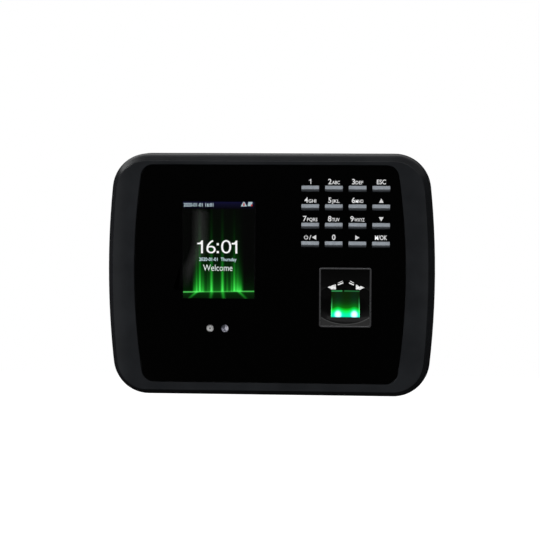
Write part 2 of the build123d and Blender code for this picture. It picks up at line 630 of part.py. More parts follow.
def wiring_headers():
    """The shrouded headers for power, door lock and data, in the wiring bay."""
    headers = []
    for x, ways in ((2.0, 4), (17.0, 5), (32.0, 4)):
        width = ways * 2.5 + 1.5
        body = block(x - width / 2, x + width / 2, -43.0, -37.0, 12.0, BOARD_BACK)
        body -= block(x - width / 2 + 0.8, x + width / 2 - 0.8, -42.2, -37.8, 11.0, 18.5)
        for way in range(ways):
            pin = x + (way - (ways - 1) / 2) * 2.5
            body += block(pin - 0.3, pin + 0.3, -40.3, -39.7, 13.0, 19.0)
        headers.append(body)
    return group(headers)


def module_cables():
    """The flat cables from the camera board and the two lamp strips to the main board."""
    cables = [ribbon([(30.25, -30.0), (30.25, -38.5), (23.0, -38.5), (23.0, -33.0)], 1.2, 0.3, -33.0, -27.0)]
    for x in LAMP_COLUMNS:
        path = [(30.25, -10.0), (30.25, -18.0), (23.0, -18.0), (23.0, -12.0)]
        cables.append(ribbon(path, 1.2, 0.3, x + 2.1, x + 4.1))
    return group(cables)


def board_sockets():
    """The main board's sockets for the flat cables and the finger sensor, as (left, right, bottom, front)."""
    places = [(-39.0, -21.0, -16.0, 23.6), (25.0, 39.0, 18.0, 23.6), (-34.0, -26.0, -33.0, 23.6)]
    places += [(x + 0.6, x + 5.6, -12.0, 23.6) for x in LAMP_COLUMNS]
    places.append((SENSOR_X - 7, SENSOR_X + 7, SENSOR_Z - 2, 22.6))
    sockets = []
    for left, right, bottom, front in places:
        sockets.append(block(left, right, bottom, bottom + 4, BOARD_FRONT, front))
    return group(sockets)


def tamper_switch():
    """The body of the switch that notices when the terminal leaves the wall."""
    body = block(-3.0, 3.0, TAMPER_Z - 3.0, TAMPER_Z + 3.0, 12.5, BOARD_BACK)
    return body - disc(0, TAMPER_Z, 3.3, 12.0, 18.9)


def tamper_plunger():
    """The tamper switch's long plunger, which the wall holds in."""
    rod = disc(0, TAMPER_Z, 3.0, 0.8, 17.2) + disc(0, TAMPER_Z, 4.6, 9.6, 10.4)
    return rod + (Pos(0, -1.8, TAMPER_Z) * Sphere(1.5))


def reset_switch():
    """The body of the reset switch in the wiring bay."""
    body = block(RESET_X - 3.0, RESET_X + 3.0, RESET_Z - 3.0, RESET_Z + 3.0, 16.5, BOARD_BACK)
    return body - disc(RESET_X, RESET_Z, 3.5, 16.0, 18.6)


def reset_button():
    """The reset switch's button."""
    return disc(RESET_X, RESET_Z, 3.2, 15.0, 18.2)


def speaker():
    """The flat speaker over the slots in the underside."""
    body = block(SPEAKER_X - 15.0, SPEAKER_X + 15.0, -70.4, -66.0, 16.2, 26.6)
    return fillet(body.edges().filter_by(Axis.Z), 2.0)


# ---- Fasteners and label ----
def drive_recess(x, z, back, front, size):
    """A cross-shaped driver recess that points back or forward."""
    return [block(x - size, x + size, z - 0.35, z + 0.35, back, front),
            block(x - 0.35, x + 0.35, z - size, z + size, back, front)]


def case_screw_set():
    """The five screws that hold the case's halves together."""
    screws = []
    for x, z in CASE_SCREWS:
        head = disc(x, z, 5.6, 7.0, 9.0) - drive_recess(x, z, 6.0, 8.0, 1.7)
        screws.append(head + disc(x, z, 2.9, 8.9, 25.0))
    return group(screws)


def board_screw_set():
    """The four screws that hold the main board."""
    screws = []
    for x, z in BOARD_POSTS:
        head = disc(x, z, 5.0, BOARD_FRONT, BOARD_FRONT + 1.6)
        head -= drive_recess(x, z, BOARD_FRONT + 0.8, BOARD_FRONT + 2, 1.5)
        screws.append(head + disc(x, z, 2.3, 14.0, BOARD_FRONT + 0.1))
    return group(screws)


def small_screw_set():
    """The small screws behind the deck: display, camera, keypad and sensor."""
    seats = [(x, z, 32.4) for x, z in BRACKET_POSTS] + [(x, z, 30.4) for x, z in CAMERA_POSTS + LAMP_POSTS]
    seats += [(x, z, 30.0) for x, z in KEYPAD_POSTS] + [(x, z, 31.0) for x, z in SENSOR_POSTS]
    screws = []
    for x, z, seat in seats:
        head = disc(x, z, 3.6, seat - 1.2, seat) - drive_recess(x, z, seat - 2, seat - 0.5, 1.1)
        screws.append(head + disc(x, z, 1.6, seat - 0.1, seat + 3.6))
    return group(screws)


def rating_label():
    """A blank label on the rear rim, above the wall plate."""
    return slab(spot(-36.0, 57.6, RectangleRounded(50.0, 9.0, 1.0)), BACK_FACE - 0.15, BACK_FACE)


def wall_plate():
    """The steel plate on the wall: hooks, screw holes, cable and tamper windows, and a bottom tab."""
    profile = RectangleRounded(PLATE_WIDTH, PLATE_HEIGHT, 5.0)
    profile += spot(0, (TAB_BOTTOM - PLATE_HEIGHT / 2) / 2, Rectangle(16.0, -TAB_BOTTOM - PLATE_HEIGHT / 2))
    for x in (-WALL_HOLE_X, WALL_HOLE_X):
        for z in (-WALL_HOLE_Z, WALL_HOLE_Z):
            profile -= spot(x, z, Circle(WALL_HOLE_RADIUS))
    profile -= spot(0, -34.0, RectangleRounded(68.0, 18.0, 3.0))
    profile -= spot(0, TAMPER_Z + 4.0, RectangleRounded(10.0, 18.0, 2.0))
    for x, z in HOOKS:
        profile -= spot(x, z + 5.7, Rectangle(HOOK_WIDTH + 1.0, 11.4 + 2 * HOOK_PLAY))
    shape = slab(profile, 0, PLATE_THICKNESS)
    for x, z in HOOKS:
        left, right, top = x - HOOK_WIDTH / 2, x + HOOK_WIDTH / 2, z - HOOK_PLAY
        hook = block(left, right, top - 1.5, top, 0.5, 9.1) + block(left, right, top - 1.5, z + 4.5, 7.9, 9.1)
        shape += fillet(hook.edges().filter_by(Axis.X).group_by(Axis.Y)[0].sort_by(Axis.Z)[0], 1.0)
    lip = block(-8.0, 8.0, TAB_BOTTOM, TAB_BOTTOM + 1.5, 0, 11.0)
    lip -= Pos(0, -SCREW_DEPTH, TAB_BOTTOM) * Cylinder(1.7, 10.0)
    shape += lip
    bend = shape.edges().filter_by(Axis.X).filter_by(lambda e: abs(e.center().Z - TAB_BOTTOM) < 0.01)
    return fillet(bend.sort_by(Axis.Y)[-1], 1.2)


def security_screw():
    """The screw that goes up through the plate's tab into the terminal."""
    head_bottom = TAB_BOTTOM - 2.0
    head = Pos(0, -SCREW_DEPTH, head_bottom + 1.0) * Cylinder(2.75, 2.0)
    head -= Pos(0, -SCREW_DEPTH, head_bottom) * extrude(RegularPolygon(1.25, 6), 1.3)
    return head + Pos(0, -SCREW_DEPTH, TAB_BOTTOM + 3.45) * Cylinder(1.45, 7.1)


PIECES = {
    "front_housing": front_housing,
    "rear_housing": rear_housing,
    "front_window": front_window,
    "window_mask": window_mask,
    "window_adhesive": window_adhesive,
    "display_panel": display_panel,
    "display_backlight": display_backlight,
    "display_bracket": display_bracket,
    "display_flex": display_flex,
    "camera_board": camera_board,
    "camera_barrels": camera_barrels,
    "camera_lenses": camera_lenses,
    "infrared_lamps": infrared_lamps,
    "lamp_boards": lamp_boards,
    "keypad_membrane": keypad_membrane,
    "keypad_board": keypad_board,
    "keypad_flex": keypad_flex,
    "sensor_bezel": sensor_bezel,
    "sensor_prism": sensor_prism,
    "sensor_housing": sensor_housing,
    "sensor_board": sensor_board,
    "sensor_lens": sensor_lens,
    "sensor_lamps": sensor_lamps,
    "main_board": main_board,
    "main_chips": main_chips,
    "processor_shield": processor_shield,
    "coin_cell": coin_cell,
    "cell_holder": cell_holder,
    "network_jack": network_jack,
    "usb_jack": usb_jack,
    "wiring_headers": wiring_headers,
    "module_cables": module_cables,
    "board_sockets": board_sockets,
    "tamper_switch": tamper_switch,
    "tamper_plunger": tamper_plunger,
    "reset_switch": reset_switch,
    "reset_button": reset_button,
    "speaker": speaker,
    "case_screws": case_screw_set,
    "board_screws": board_screw_set,
    "small_screws": small_screw_set,
    "rating_label": rating_label,
    "wall_plate": wall_plate,
    "security_screw": security_screw,
}

if __name__ == "__main__":
    os.makedirs("parts", exist_ok=True)
    for node, make in PIECES.items():
        export_step(make(), f"parts/{node}.step")
    for node, key_x, key_z in key_centres():
        export_step(key_cap(key_x, key_z), f"parts/{node}.step")
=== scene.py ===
"""Looks of the fingerprint terminal.

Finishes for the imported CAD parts, the lit picture on the display, the printed legends, and the studio.
Metres, in the frame of the CAD model: +Z up, the user on the -Y side, the wall at y = 0.
"""

from math import cos, pi, radians, sin

import bmesh
import bpy
from mathutils import Matrix, Vector
from mathutils.bvhtree import BVHTree


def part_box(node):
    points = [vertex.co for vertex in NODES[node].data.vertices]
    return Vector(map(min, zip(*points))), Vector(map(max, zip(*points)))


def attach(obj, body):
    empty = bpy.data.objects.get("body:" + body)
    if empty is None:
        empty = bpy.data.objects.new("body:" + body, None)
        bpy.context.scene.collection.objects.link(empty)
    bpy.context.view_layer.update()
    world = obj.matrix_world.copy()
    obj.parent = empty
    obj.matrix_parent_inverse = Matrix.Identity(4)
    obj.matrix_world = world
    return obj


MM = 0.001

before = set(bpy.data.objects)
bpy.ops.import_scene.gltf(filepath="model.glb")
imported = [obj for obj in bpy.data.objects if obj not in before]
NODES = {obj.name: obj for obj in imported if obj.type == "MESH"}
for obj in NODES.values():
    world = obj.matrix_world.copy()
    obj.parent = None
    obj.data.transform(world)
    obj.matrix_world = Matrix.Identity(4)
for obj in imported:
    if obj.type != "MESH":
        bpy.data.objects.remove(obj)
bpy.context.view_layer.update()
TERMINAL = "terminal"


# ---------------------------------------------------------------- places read from the frame
def middle(node):
    """The centre of a CAD node's box."""
    low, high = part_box(node)
    return (low + high) / 2


GLASS_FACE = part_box("front_window")[0].y
PANEL_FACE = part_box("display_panel")[0].y
PLATEN_LOW, PLATEN_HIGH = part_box("sensor_prism")
SENSOR = middle("sensor_bezel")
LENS_CENTRE = middle("camera_lenses")
LENSES_LOW, LENSES_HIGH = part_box("camera_lenses")
LENS_DIAMETER = LENSES_HIGH.z - LENSES_LOW.z
LENS_APART = LENSES_HIGH.x - LENSES_LOW.x - LENS_DIAMETER

# ---------------------------------------------------------------- the fingerprint sensor's measures
SENSOR_WIDTH = 31.1 * MM
SENSOR_HEIGHT = 35.7 * MM
BEAD = 1.1 * MM  # width of the raised bead round the finger guide
BEAD_RISE = 0.5 * MM  # the bead stands this far above the guide's face
GUIDE_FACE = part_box("sensor_bezel")[0].y + BEAD_RISE
DISH_START = 0.02  # whatever lies deeper than this behind the face is in the dish, in millimetres
LIP_HIGHLIGHT_DEPTH = 0.1  # where a highlight is painted on the dish's rim, in millimetres
LIP_HIGHLIGHT_HALF = 0.12
# Painted sheen and shade: the face is painted palest at its foot (0) and nearly black at its top (1).
PAINTED_SHEEN_STOPS = [(0.0, 0.1), (0.3, 0.085), (0.55, 0.04), (0.7, 0.012), (1.0, 0.006)]
GLOSS_BLACK = 0.006
# The bead's grey is a painted highlight along its rounded top.
BEAD_HIGHLIGHT_GREY = (0.27, 0.27, 0.28)

# Light in the finger window, in millimetres from its middle and its foot.
LAMP_SPOTS = (-4.4, 5.3)
SPOT_RISE = 1.3
SPOT_HALF_WIDTH = 1.75
SPOT_HALF_HEIGHT = 2.1
LOBE_HALF = 2.4  # half width of the green light over each spot
LOBE_RISE = 1.1
EDGE_HIGHLIGHT_WIDTH = 0.6  # width of the painted highlight on the side edges
BRINK_HIGHLIGHT = 0.8  # height of the painted highlight on the top edge
BRINK_GAP = (-1.9, -0.7)  # the dark gap in the painted highlight on the top edge
# Brightness from the foot (0) to the top (1).
PLATEN_GREEN = [(0.0, 0.95), (0.2, 0.93), (0.27, 0.5), (0.33, 0.15), (0.4, 0.1)]
PLATEN_GREEN += [(0.47, 0.055), (0.56, 0.03), (0.7, 0.018), (1.0, 0.014)]
PLATEN_BLUE = [(0.0, 0.42), (0.1, 0.33), (0.17, 0.13), (0.25, 0.02), (0.32, 0.004), (1.0, 0.0015)]
# Painted highlight on the side edges, from the foot (0) to the top (1).
PLATEN_EDGE_HIGHLIGHT = [(0.0, 0.6), (0.33, 0.55), (0.55, 0.14), (0.72, 0.02), (0.8, 0.0)]

# Corners of the painted highlights on the finger guide, glowing patches where its slopes reflect the light,
# in millimetres from the sensor's middle.
GLINT_PATCHES = [
    [(-10.5, 6.2), (-8.3, 4.8), (-5.6, 4.8), (-5.7, 8.0)],
    [(6.2, 4.8), (8.9, 4.8), (11.4, 6.2), (8.9, 7.1)],
    [(6.3, 7.9), (6.2, 4.8), (8.6, 5.9), (7.4, 7.6)],
    [(-4.7, 7.8), (-4.3, 7.3), (-1.2, 8.4), (-1.3, 9.2)],
    [(-4.5, 8.8), (-4.3, 8.5), (-1.5, 9.8), (-1.6, 10.1)],
    [(2.3, 9.2), (2.2, 8.4), (4.9, 7.3), (5.2, 7.9)],
    [(2.8, 10.2), (2.8, 9.8), (5.0, 8.6), (5.2, 8.9)],
]
GLINT_STEPS = 8  # facets along each side of a patch of painted highlight
GLINT_LIFT = 0.05 * MM  # how far it stands off the guide
IN_FRONT = -0.06  # a place on the user's side of everything

# ---------------------------------------------------------------- the display's measures
DISPLAY_WIDTH = 42.7 * MM
DISPLAY_HEIGHT = 58.0 * MM
DISPLAY_X = middle("display_panel").x - 0.2 * MM
DISPLAY_LEFT = DISPLAY_X - DISPLAY_WIDTH / 2
DISPLAY_RIGHT = DISPLAY_LEFT + DISPLAY_WIDTH
DISPLAY_FOOT = -13.5 * MM
# How far the picture and what is shown on it lie in front of the cell.
PICTURE_LIFT = 0.03 * MM
WORDS_LIFT = 0.05 * MM
ICONS_LIFT = 0.06 * MM
MARKS_LIFT = 0.07 * MM
PIXEL = 0.3 * MM

# The picture, in millimetres from the display's middle and foot.
HORIZON = 4.0  # height of the bright line
HORIZON_TILT = 0.018
LINE_HALF = 0.36
LINE_STRENGTH = [(0.0, 0.62), (0.22, 0.6), (0.34, 0.28), (0.7, 0.3), (0.8, 0.5)]  # from left to right
HAZE_SIDE = 15.2  # the haze between the beams ends here on either side
STATUS_BAR = 4.6
# Beams of light that stand on the line: place, half width, brightness, and the height that they fade over.
BEAMS = [
    (-14.6, 0.7, 0.35, 3.5),
    (-13.2, 0.65, 0.75, 5.5),
    (-11.3, 0.65, 0.97, 8.0),
    (-9.6, 0.9, 0.4, 5.0),
    (-6.4, 0.5, 0.1, 6.0),
    (-4.3, 0.75, 0.86, 8.2),
    (2.3, 0.75, 0.86, 8.2),
    (5.2, 0.6, 0.2, 5.0),
    (7.8, 0.6, 0.3, 6.0),
    (9.4, 0.65, 0.92, 7.2),
    (11.3, 1.1, 0.7, 5.0),
    (13.1, 1.0, 0.65, 3.0),
]
BEAM_GAIN = 1.15
# Their reflections on the ground: start, lean, half width, brightness and fade.
SPILLS = [
    (-13.2, -1.17, 0.95, 0.6, 1.9),
    (-4.15, -0.17, 0.9, 0.4, 2.4),
    (2.35, 0.17, 0.9, 0.4, 4.5),
    (12.1, 1.0, 0.95, 0.55, 2.3),
]
GREENS = [(0.0, (0.0003, 0.0005, 0.0003)), (0.05, (0.002, 0.05, 0.004)), (0.3, (0.012, 0.3, 0.02))]
GREENS += [(1.0, (0.07, 1.0, 0.11))]
BAR_BLUES = [(0.0, (0.004, 0.004, 0.03)), (0.4, (0.003, 0.003, 0.015)), (1.0, (0.0005, 0.0005, 0.001))]

# ---------------------------------------------------------------- the legends' measures
LEGEND_RISE = 2.75 * MM  # from a key's middle to the foot of its legend
PRINT_LIFT = 0.03 * MM  # how far the print stands off the window
DIGIT_TALL = 3.0 * MM
LETTER_TALL = 1.9 * MM
LETTER_WIDE = 1.62 * MM
LETTER_GAP = 0.25 * MM
COMMAND_TALL = 2.6 * MM
BOLD = 0.02  # the print's strokes are this much thicker, as a part of the letters' size
SYMBOL_RISE = 1.35 * MM  # from a legend's foot to the middle of an arrow
ARROW = [(1.25, 0.0), (-1.25, 1.42), (-1.25, -1.42)]
SLASH = [(-0.65, -0.05), (-0.25, -0.05), (0.65, 2.7), (0.25, 2.7)]
POWER_BAR = [(-0.2, 0.3), (0.2, 0.3), (0.2, 1.35), (-0.2, 1.35)]
# A digit one with a flag, as parts of its height, from the outer edge of its stem.
ONE = [(-0.44, 0.70), (-0.15, 0.70), (-0.15, 0.0), (0.0, 0.0), (0.0, 1.0), (-0.12, 1.0)]
ONE += [(-0.17, 0.9), (-0.27, 0.83), (-0.44, 0.81)]


# ---------------------------------------------------------------- node building
class Nodes:
    """Shorthand for building one node tree."""

    def __init__(self, tree):
        self.tree = tree

    def node(self, kind, **settings):
        made = self.tree.nodes.new(kind)
        for setting, value in settings.items():
            setattr(made, setting, value)
        return made

    def link(self, source, target):
        self.tree.links.new(source, target)

    def math(self, operation, first, second=0.0, third=0.0, clamp=False):
        made = self.node("ShaderNodeMath", operation=operation, use_clamp=clamp)
        for socket, value in zip(made.inputs, (first, second, third)):
            if isinstance(value, (int, float)):
                socket.default_value = value
            else:
                self.link(value, socket)
        return made.outputs[0]

    def bell(self, value, place, half):
        """A bell curve that is 1 at its place and 1/e at half on either side."""
        across = self.math("DIVIDE", self.math("SUBTRACT", value, place), half)
        return self.math("EXPONENT", self.math("MULTIPLY", self.math("POWER", across, 2.0), -1.0))

    def fall(self, value, length):
        """A fade that drops to 1/e over a length."""
        return self.math("EXPONENT", self.math("DIVIDE", value, -length))

    def ramp(self, value, stops, interpolation="LINEAR"):
        """A colour ramp from (position, colour) stops; a number stands for a grey."""
        made = self.node("ShaderNodeValToRGB")
        made.color_ramp.interpolation = interpolation
        while len(made.color_ramp.elements) < len(stops):
            made.color_ramp.elements.new(0.5)
        for element, (position, colour) in zip(made.color_ramp.elements, stops):
            element.position = position
            element.color = (colour, colour, colour, 1) if isinstance(colour, float) else (*colour, 1)
        self.link(value, made.inputs[0])
        return made.outputs["Color"]

    def blend(self, factor, first, second, kind="MIX"):
        """Mixes two colours, each of them a constant or the output of a node."""
        made = self.node("ShaderNodeMix", data_type="RGBA", blend_type=kind)
        self.link(factor, made.inputs["Factor"])
        for socket, value in (("A", first), ("B", second)):
            if isinstance(value, tuple):
                made.inputs[socket].default_value = (*value, 1)
            else:
                self.link(value, made.inputs[socket])
        return made.outputs["Result"]


class Finish(Nodes):
    """A node material that starts from one Principled shader."""

    def __init__(self, name, colour, roughness, metallic=0.0, **sockets):
        self.material = bpy.data.materials.new(name)
        self.material.use_nodes = True
        super().__init__(self.material.node_tree)
        self.shader = self.tree.nodes["Principled BSDF"]
        self.set("Base Color", (*colour, 1.0))
        self.set("Roughness", roughness)
        self.set("Metallic", metallic)
        for socket, value in sockets.items():
            self.set(socket.replace("_", " "), value)
        self.place = self.node("ShaderNodeTexCoord").outputs["Object"]

    def set(self, socket, value):
        self.shader.inputs[socket].default_value = value

    def drive(self, socket, value):
        """Feeds a node's output to one of the shader's sockets."""
        self.link(value, self.shader.inputs[socket])

    def along(self, axis, start, unit=None):
        """How far a point is from a start along an axis, in metres or in the unit given."""
        axes = self.node("ShaderNodeSeparateXYZ")
        self.link(self.place, axes.inputs[0])
        away = self.math("SUBTRACT", axes.outputs[axis], start)
        return self.math("DIVIDE", away, unit) if unit else away

    def noise(self, size, detail=3.0, stretch=(1, 1, 1)):
        """A noise value whose features are about size metres across."""
        scaled = self.node("ShaderNodeMapping")
        scaled.inputs["Scale"].default_value = stretch
        self.link(self.place, scaled.inputs["Vector"])
        made = self.node("ShaderNodeTexNoise")
        made.inputs["Scale"].default_value = 1 / size
        made.inputs["Detail"].default_value = detail
        self.link(scaled.outputs[0], made.inputs["Vector"])
        return made.outputs["Fac"]

    def roughness(self, value, low, high):
        """Roughness that wanders between two values."""
        self.drive("Roughness", self.ramp(value, [(0.3, float(low)), (0.7, float(high))]))

    def colours(self, value, dark, light):
        """A base colour that wanders between two colours."""
        self.drive("Base Color", self.ramp(value, [(0.3, dark), (0.7, light)]))

    def bump(self, value, height, strength=1.0):
        """Relief of that height, in metres."""
        made = self.node("ShaderNodeBump")
        made.inputs["Distance"].default_value = height
        made.inputs["Strength"].default_value = strength
        self.link(value, made.inputs["Height"])
        self.drive("Normal", made.outputs[0])

    def light(self, colour, strength):
        """Makes the surface give its own light."""
        self.drive("Emission Color", colour)
        self.set("Emission Strength", strength)


def moulded(name, colour, roughness, grain, height, lighter=1.35):
    """A moulded plastic with a fine spark-eroded grain."""
    made = Finish(name, colour, roughness)
    fine = made.noise(grain, 4.0)
    broad = made.noise(18 * MM, 2.0)
    made.roughness(broad, roughness - 0.02, roughness + 0.02)
    made.colours(broad, colour, [c * lighter for c in colour])
    made.bump(fine, height)
    return made.material


def sheet_steel(name, colour, roughness, spangle=6 * MM):
    """Zinc-plated sheet: faint spangle, rolled streaks and small scratches."""
    made = Finish(name, colour, roughness, 1.0)
    streaks = made.noise(0.6 * MM, 5.0, (0.04, 1, 1))
    cells = made.node("ShaderNodeTexVoronoi")
    cells.inputs["Scale"].default_value = 1 / spangle
    made.link(made.place, cells.inputs["Vector"])
    mixed = made.math("MULTIPLY_ADD", cells.outputs["Color"], 0.35, made.math("MULTIPLY", streaks, 0.65))
    made.colours(mixed, [c * 0.8 for c in colour], [min(1.0, c * 1.12) for c in colour])
    made.roughness(mixed, roughness - 0.07, roughness + 0.1)
    made.bump(streaks, 0.01 * MM, 0.5)
    return made.material


def label_film(name, colour, roughness):
    """A printed film with a fine speckle."""
    made = Finish(name, colour, roughness)
    speckle = made.noise(0.12 * MM, 3.0)
    made.colours(speckle, [c * 0.86 for c in colour], colour)
    made.bump(speckle, 0.004 * MM)
    return made.material


def glowing(name, colour, strength):
    """Lit pixels: a colour that gives its own light and varies faintly from pixel to pixel."""
    made = Finish(name, (0.0, 0.0, 0.0), 0.6, Specular_IOR_Level=0.0)
    pixels = made.noise(PIXEL, 1.0)
    made.light(made.ramp(pixels, [(0.3, [c * 0.9 for c in colour]), (0.7, colour)]), strength)
    made.bump(pixels, 0.002 * MM)
    return made.material


# ---------------------------------------------------------------- the case
def dress(material, *names):
    """Gives CAD nodes a material in every slot."""
    for name in names:
        data = NODES[name].data
        data.materials.clear()
        data.materials.append(material)


def circuit_board_finish():
    """Green solder mask over copper tracks, which show as paler lines."""
    made = Finish("solder_mask", (0.012, 0.12, 0.05), 0.35)
    tracks = made.node("ShaderNodeTexBrick", offset=0.37, squash=0.6)
    tracks.inputs["Scale"].default_value = 1 / (14 * MM)
    tracks.inputs["Mortar Size"].default_value = 0.012
    tracks.inputs["Color1"].default_value = (0.008, 0.085, 0.035, 1)
    tracks.inputs["Color2"].default_value = (0.010, 0.10, 0.042, 1)
    tracks.inputs["Mortar"].default_value = (0.03, 0.21, 0.08, 1)
    upright = made.node("ShaderNodeMapping")
    upright.inputs["Rotation"].default_value = (radians(90), 0, 0)
    made.link(made.place, upright.inputs["Vector"])
    made.link(upright.outputs[0], tracks.inputs["Vector"])
    made.drive("Base Color", tracks.outputs["Color"])
    made.bump(tracks.outputs["Fac"], 0.03 * MM, 0.4)
    made.roughness(made.noise(4 * MM), 0.28, 0.42)
    return made.material


def case_finishes():
    """Materials for the case, the plate and everything inside that keeps its CAD shape."""
    bezel = moulded("bezel_satin_black", (0.035, 0.038, 0.043), 0.25, 0.25 * MM, 0.012 * MM)
    rear = moulded("rear_grained_black", (0.016, 0.016, 0.018), 0.55, 0.5 * MM, 0.05 * MM)
    inner = moulded("black_nylon", (0.02, 0.02, 0.021), 0.5, 0.3 * MM, 0.02 * MM)
    pale = moulded("natural_nylon", (0.62, 0.6, 0.54), 0.45, 0.3 * MM, 0.015 * MM, 1.12)
    steel = sheet_steel("zinc_sheet", (0.58, 0.59, 0.6), 0.36)
    tin = sheet_steel("tinned_steel", (0.66, 0.66, 0.65), 0.25, 30 * MM)
    screw = sheet_steel("screw_zinc", (0.5, 0.5, 0.52), 0.3, 20 * MM)
    board = circuit_board_finish()
    film = moulded("polyimide_film", (0.5, 0.2, 0.03), 0.3, 0.4 * MM, 0.004 * MM, 1.2)
    silicone = moulded("grey_silicone", (0.32, 0.33, 0.35), 0.6, 0.3 * MM, 0.01 * MM, 1.15)
    resin = moulded("clear_resin", (0.22, 0.17, 0.24), 0.12, 0.6 * MM, 0.002 * MM, 1.2)
    tape = moulded("foam_tape", (0.03, 0.03, 0.03), 0.8, 0.3 * MM, 0.04 * MM, 1.5)
    label = label_film("label_silver", (0.55, 0.56, 0.57), 0.38)
    dress(bezel, "front_housing")
    dress(rear, "rear_housing")
    dress(inner, "camera_barrels", "sensor_housing", "sensor_lens", "main_chips", "cell_holder")
    dress(inner, "network_jack", "tamper_switch", "reset_switch", "speaker")
    dress(pale, "display_backlight", "wiring_headers", "board_sockets", "tamper_plunger", "reset_button")
    dress(steel, "wall_plate")
    dress(tin, "display_bracket", "processor_shield", "coin_cell", "usb_jack")
    dress(screw, "case_screws", "board_screws", "small_screws", "security_screw")
    dress(board, "main_board", "camera_board", "lamp_boards", "keypad_board", "sensor_board")
    dress(film, "display_flex", "keypad_flex", "module_cables")
    dress(silicone, "keypad_membrane")
    dress(resin, "infrared_lamps", "sensor_lamps")
    dress(tape, "window_adhesive")
    dress(label, "rating_label")


def window_finishes():
    """Polished clear acrylic, the black film behind it, and the display's dark cell."""
    acrylic = Finish("clear_acrylic", (1.0, 1.0, 1.0), 0.0, Transmission_Weight=1.0, IOR=1.49)
    acrylic.roughness(acrylic.noise(25 * MM, 2.0), 0.0, 0.012)
    film = Finish("black_film", (0.0015, 0.0015, 0.0017), 0.5)
    grain = film.noise(0.4 * MM)
    film.colours(grain, (0.0012, 0.0012, 0.0014), (0.002, 0.002, 0.0022))
    film.bump(grain, 0.003 * MM)
    cell = moulded("display_cell", (0.004, 0.004, 0.005), 0.18, 0.5 * MM, 0.002 * MM)
    dress(acrylic.material, "front_window")
    dress(cell, "display_panel")
    dress(film.material, "window_mask")


def key_finish():
    """Silver paint with fine metal flakes."""
    made = Finish("silver_paint", (0.42, 0.46, 0.5), 0.34, 0.75)
    flakes = made.noise(0.09 * MM, 2.0)
    made.colours(flakes, (0.34, 0.37, 0.41), (0.48, 0.53, 0.58))
    made.roughness(made.noise(2.5 * MM), 0.3, 0.4)
    made.bump(flakes, 0.004 * MM)
    dress(made.material, *[name for name in NODES if name.startswith("key_")])


# ---------------------------------------------------------------- flat pieces
def piece(name, mesh, material):
    """Turns a bmesh into an object that rides on the terminal."""
    data = bpy.data.meshes.new(name)
    mesh.to_mesh(data)
    mesh.free()
    data.materials.append(material)
    made = bpy.data.objects.new(name, data)
    bpy.context.scene.collection.objects.link(made)
    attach(made, TERMINAL)


def outline(mesh, x, z, points, y, unit=MM):
    """Adds a flat polygon whose points are measured in units from (x, z)."""
    mesh.faces.new([mesh.verts.new((x + u * unit, y, z + v * unit)) for u, v in points])


def add_grid(mesh, rows):
    """Joins rows of points into a sheet of quads."""
    for near, far in zip(rows, rows[1:]):
        for i in range(len(near) - 1):
            mesh.faces.new([near[i], near[i + 1], far[i + 1], far[i]])


def face_user(mesh):
    """Makes every face look towards the user."""
    mesh.normal_update()
    bmesh.ops.reverse_faces(mesh, faces=[f for f in mesh.faces if f.normal.y > 0])


# ---------------------------------------------------------------- the fingerprint sensor
def guide_finish():
    """Black plastic: a face with painted sheen that pales towards its foot, a polished dish with a painted
    highlight on its rim, and a bead painted grey as a highlight.
    """
    made = Finish("gloss_black", (0.006, 0.006, 0.007), 0.12, Specular_IOR_Level=0.14)
    reach = []
    for axis, centre, width in (("X", SENSOR.x, SENSOR_WIDTH), ("Z", SENSOR.z, SENSOR_HEIGHT)):
        away = made.math("ABSOLUTE", made.along(axis, centre))
        reach.append(made.math("DIVIDE", made.math("SUBTRACT", away, width / 2), BEAD))
    bead = made.ramp(made.math("ADD", made.math("MAXIMUM", *reach), 1.0), [(0.0, 0.0), (0.12, 1.0)])
    depth = made.along("Y", GUIDE_FACE, MM)
    # Painted sheen: the face is painted paler towards its foot, as light falls on it.
    painted_sheen = made.ramp(made.along("Z", SENSOR.z - SENSOR_HEIGHT / 2, SENSOR_HEIGHT), PAINTED_SHEEN_STOPS)
    in_dish = made.math("GREATER_THAN", depth, DISH_START)
    # Painted highlight on the dish's rim, where it catches the light.
    lip_highlight = made.math("MULTIPLY", made.bell(depth, LIP_HIGHLIGHT_DEPTH, LIP_HIGHLIGHT_HALF), in_dish)
    face = made.math("MULTIPLY_ADD", lip_highlight, 2.2, made.math("LESS_THAN", depth, DISH_START))
    face = made.math("MAXIMUM", made.math("MULTIPLY", painted_sheen, face), GLOSS_BLACK)
    # Base colour: painted sheen on the face, a painted highlight on the dish's rim, and the bead painted grey
    # as a highlight.
    made.drive("Base Color", made.blend(bead, face, BEAD_HIGHLIGHT_GREY))
    made.drive("Metallic", made.math("MULTIPLY", bead, 0.7))
    polish = made.ramp(made.noise(5 * MM), [(0.3, 0.09), (0.7, 0.16)])
    made.drive("Roughness", made.math("MULTIPLY_ADD", bead, 0.16, polish))
    made.bump(made.noise(1.2 * MM), 0.003 * MM)
    dress(made.material, "sensor_bezel")


